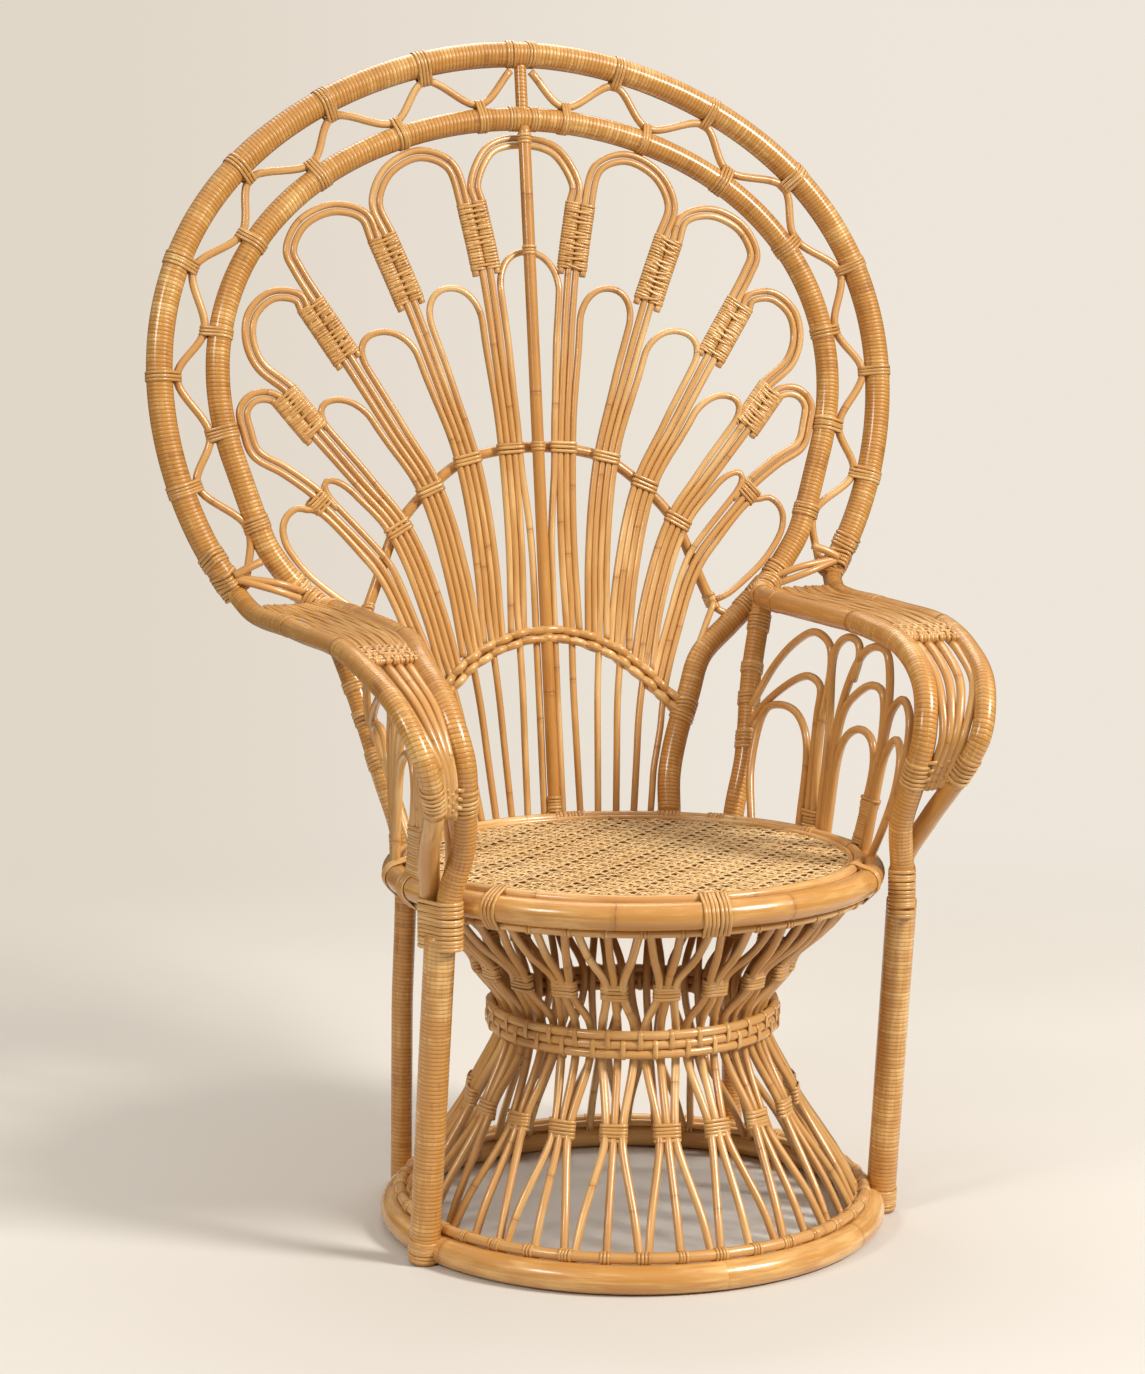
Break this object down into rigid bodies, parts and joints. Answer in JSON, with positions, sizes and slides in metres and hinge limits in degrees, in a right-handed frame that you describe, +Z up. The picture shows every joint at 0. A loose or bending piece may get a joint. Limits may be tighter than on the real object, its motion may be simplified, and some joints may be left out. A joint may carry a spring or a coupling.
{
  "type": "peacock chair",
  "caption": "Rattan armchair with a round seat on an hourglass base of bent canes, two wrapped arms and a tall round back with a fan of hairpin canes between two hoops.",
  "frame": {"origin": "on the floor, under the centre of the chair's bounding box", "axes": "+Z up, the sitter faces -Y, +X at the sitter's left"},
  "size_m": [1.007, 0.7462, 1.4405],
  "materials": {
    "honey_cane": "bare peeled rattan pole with a satin lacquer",
    "pale_cane": "thin pale rattan cane with a satin lacquer",
    "splint": "pole wrapped in flat rattan splint with a satin lacquer"
  },
  "bodies": {
    "root": {"base_ring": "honey_cane", "base_tie_ring": "pale_cane", "waist_band": "splint", "seat_rim": "honey_cane", "seat_under_ring": "pale_cane", "seat_top_ring": "pale_cane", "seat_panel": "pale_cane", "seat_brace_front": "honey_cane", "seat_brace_back": "honey_cane", "cluster_pair_1": "honey_cane", "cluster_pair_2": "honey_cane", "cluster_pair_3": "honey_cane", "cluster_pair_4": "honey_cane", "cluster_pair_5": "honey_cane", "cluster_pair_6": "honey_cane", "cluster_pair_7": "honey_cane", "cluster_pair_8": "honey_cane", "cluster_pair_9": "honey_cane", "cluster_pair_10": "honey_cane", "outer_hoop": "splint", "inner_hoop": "splint", "centre_post": "honey_cane", "crown_post": "splint", "hoop_wave_right": "honey_cane", "hoop_wave_left": "honey_cane", "mid_arc": "honey_cane", "low_arc": "honey_cane", "large_petal_middle": "pale_cane", "large_petal_right_1": "pale_cane", "large_petal_left_1": "pale_cane", "large_petal_right_2": "pale_cane", "large_petal_left_2": "pale_cane", "large_petal_right_3": "pale_cane", "large_petal_left_3": "pale_cane", "large_petal_right_4": "pale_cane", "large_petal_left_4": "pale_cane", "large_petal_right_5": "pale_cane", "large_petal_left_5": "pale_cane", "small_petal_middle": "pale_cane", "small_petal_right_1": "pale_cane", "small_petal_left_1": "pale_cane", "small_petal_right_2": "pale_cane", "small_petal_left_2": "pale_cane", "small_petal_right_3": "pale_cane", "small_petal_left_3": "pale_cane", "small_petal_right_4": "pale_cane", "small_petal_left_4": "pale_cane", "front_leg_right": "splint", "rear_post_right": "splint", "inner_rail_right": "splint", "outer_rail_right": "splint", "arm_slats_right": "pale_cane", "arm_fan_right": "pale_cane", "front_leg_left": "splint", "rear_post_left": "splint", "inner_rail_left": "splint", "outer_rail_left": "splint", "arm_slats_left": "pale_cane", "arm_fan_left": "pale_cane"}
  },
  "joints": []
}
